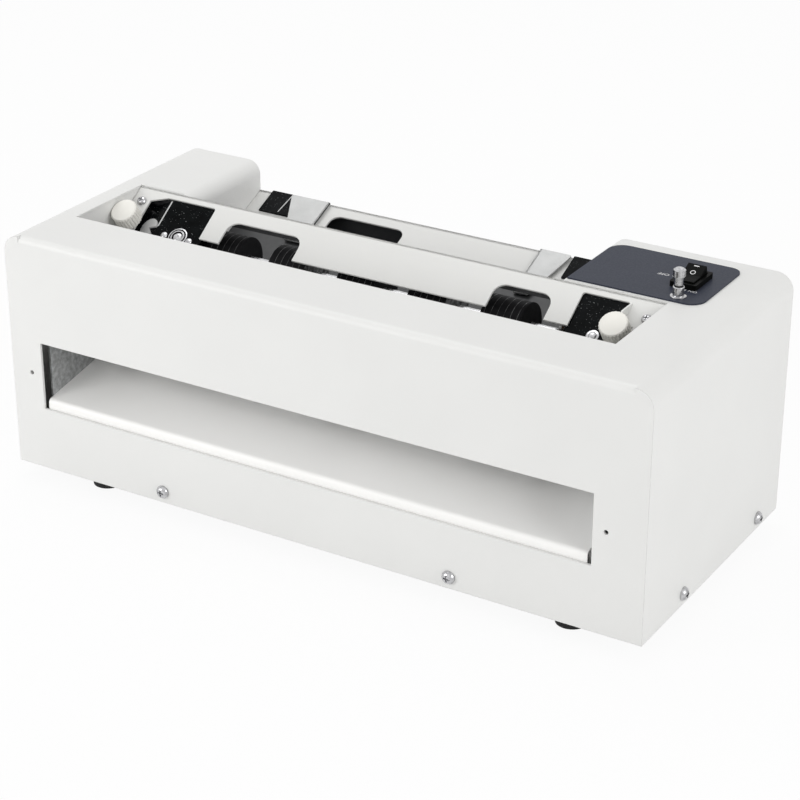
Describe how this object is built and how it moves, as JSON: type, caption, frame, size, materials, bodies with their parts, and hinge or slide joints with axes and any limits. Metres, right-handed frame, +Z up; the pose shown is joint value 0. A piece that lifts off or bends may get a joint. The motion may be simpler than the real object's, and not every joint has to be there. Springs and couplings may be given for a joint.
{
  "type": "business card cutter",
  "caption": "Desk-top motor driven card slitter: a folded steel case, a sloping feed table, geared feed rollers and disc cutters, an exit ramp and thumb knobs",
  "frame": {"origin": "on the table under the feet, at the middle of the case's length and depth", "axes": "+X along the case, with the control panel at +X; +Y towards the feeding side; +Z up. Cards leave at -Y"},
  "size_m": [0.4058, 0.1782, 0.1676],
  "materials": {
    "white_case": "satin powder coat",
    "white_cover": "satin powder coat",
    "slate_panel": "satin printed panel",
    "black_sheet": "gloss black",
    "galvanised": "galvanised sheet",
    "steel": "ground",
    "blade_steel": "hardened, ground",
    "chrome": "bright plated",
    "bronze": "sintered bronze",
    "rubber_black": "matt",
    "roller_rubber": "ground rubber",
    "knob_plastic": "fine grain",
    "switch_plastic": "gloss black",
    "gear_steel": "oiled",
    "gear_nylon": "nylon",
    "board_green": "solder mask",
    "motor_can": "satin"
  },
  "bodies": {
    "frame": {"outer_case": "white_case", "top_cover": "white_cover", "control_panel": "slate_panel", "rocker_bezel": "switch_plastic", "toggle_bushing": "chrome", "left_pressure_bracket": "black_sheet", "right_pressure_bracket": "black_sheet", "case_screws": "chrome", "cover_screws": "chrome", "cover_spacers": "steel", "feed_table": "white_cover", "base_pan": "galvanised", "rubber_feet": "rubber_black", "foot_screws": "chrome", "left_chassis_wall": "galvanised", "right_chassis_wall": "galvanised", "left_bearing_plate": "steel", "right_bearing_plate": "steel", "tie_bars": "steel", "shaft_bushes": "bronze", "exit_ramp": "white_cover", "idler_pin": "steel", "drive_motor": "motor_can", "rear_panel": "white_case", "rear_screws": "chrome", "power_inlet": "switch_plastic", "control_board": "board_green", "board_standoffs": "steel", "left_rear_bracket": "black_sheet", "right_rear_bracket": "black_sheet"},
    "lower_cutter": {"lower_cutter_shaft": "steel", "lower_discs": "blade_steel", "lower_cutter_gear": "gear_steel"},
    "upper_cutter": {"upper_cutter_shaft": "steel", "upper_discs": "blade_steel", "upper_cutter_gear": "gear_steel"},
    "lower_feed": {"lower_feed_shaft": "steel", "lower_feed_rollers": "roller_rubber", "lower_feed_gear": "gear_steel"},
    "upper_feed": {"upper_feed_shaft": "steel", "upper_feed_rollers": "roller_rubber", "upper_feed_gear": "gear_steel"},
    "idler": {"idler_gear": "gear_nylon"},
    "motor_rotor": {"motor_shaft": "steel", "motor_pinion": "gear_steel"},
    "rocker_body": {"rocker": "switch_plastic"},
    "toggle_body": {"toggle_lever": "chrome"},
    "left_knob_body": {"left_knob": "knob_plastic", "left_knob_stud": "chrome"},
    "right_knob_body": {"right_knob": "knob_plastic", "right_knob_stud": "chrome"},
    "left_guide": {"left_paper_guide": "galvanised"},
    "right_guide": {"right_paper_guide": "galvanised"}
  },
  "joints": [
    {"name": "lower_cutter_spin", "type": "hinge", "parent": "frame", "child": "lower_cutter", "pos_m": [0, -0.00844, 0.07442], "axis": [1, 0, 0], "continuous": true},
    {"name": "upper_cutter_spin", "type": "hinge", "parent": "frame", "child": "upper_cutter", "pos_m": [0, -0.02064, 0.10183], "axis": [1, 0, 0], "continuous": true},
    {"name": "lower_feed_spin", "type": "hinge", "parent": "frame", "child": "lower_feed", "pos_m": [0, 0.0281, 0.09069], "axis": [1, 0, 0], "continuous": true},
    {"name": "upper_feed_spin", "type": "hinge", "parent": "frame", "child": "upper_feed", "pos_m": [0, 0.0159, 0.1181], "axis": [1, 0, 0], "continuous": true},
    {"name": "idler_spin", "type": "hinge", "parent": "frame", "child": "idler", "pos_m": [0, 0.01893, 0.06213], "axis": [1, 0, 0], "continuous": true},
    {"name": "motor_spin", "type": "hinge", "parent": "frame", "child": "motor_rotor", "pos_m": [0, 0.03731, 0.0467], "axis": [1, 0, 0], "continuous": true},
    {"name": "rocker_tilt", "type": "hinge", "parent": "frame", "child": "rocker_body", "pos_m": [0.1575, 0.047, 0.1542], "axis": [1, 0, 0], "range_deg": [-24, 0]},
    {"name": "toggle_tilt", "type": "hinge", "parent": "frame", "child": "toggle_body", "pos_m": [0.16, 0.0255, 0.1534], "axis": [1, 0, 0], "range_deg": [-12, 12]},
    {"name": "left_knob_turn", "type": "hinge", "parent": "frame", "child": "left_knob_body", "pos_m": [-0.1735, -0.00471, 0.1358], "axis": [0, -0.5736, 0.8192], "range_deg": [-360, 720]},
    {"name": "right_knob_turn", "type": "hinge", "parent": "frame", "child": "right_knob_body", "pos_m": [0.141, -0.00471, 0.1358], "axis": [0, -0.5736, 0.8192], "range_deg": [-360, 720]},
    {"name": "left_guide_slide", "type": "slide", "parent": "frame", "child": "left_guide", "axis": [1, 0, 0], "range_m": [-0.019, 0.019]},
    {"name": "right_guide_slide", "type": "slide", "parent": "frame", "child": "right_guide", "axis": [1, 0, 0], "range_m": [-0.019, 0.019]}
  ],
  "couplings": [
    {"joint": "upper_cutter_spin", "follows": "lower_cutter_spin", "ratio": -1},
    {"joint": "idler_spin", "follows": "lower_cutter_spin", "ratio": -1},
    {"joint": "lower_feed_spin", "follows": "lower_cutter_spin", "ratio": 1},
    {"joint": "upper_feed_spin", "follows": "lower_cutter_spin", "ratio": -1},
    {"joint": "motor_spin", "follows": "lower_cutter_spin", "ratio": 1.6667}
  ]
}
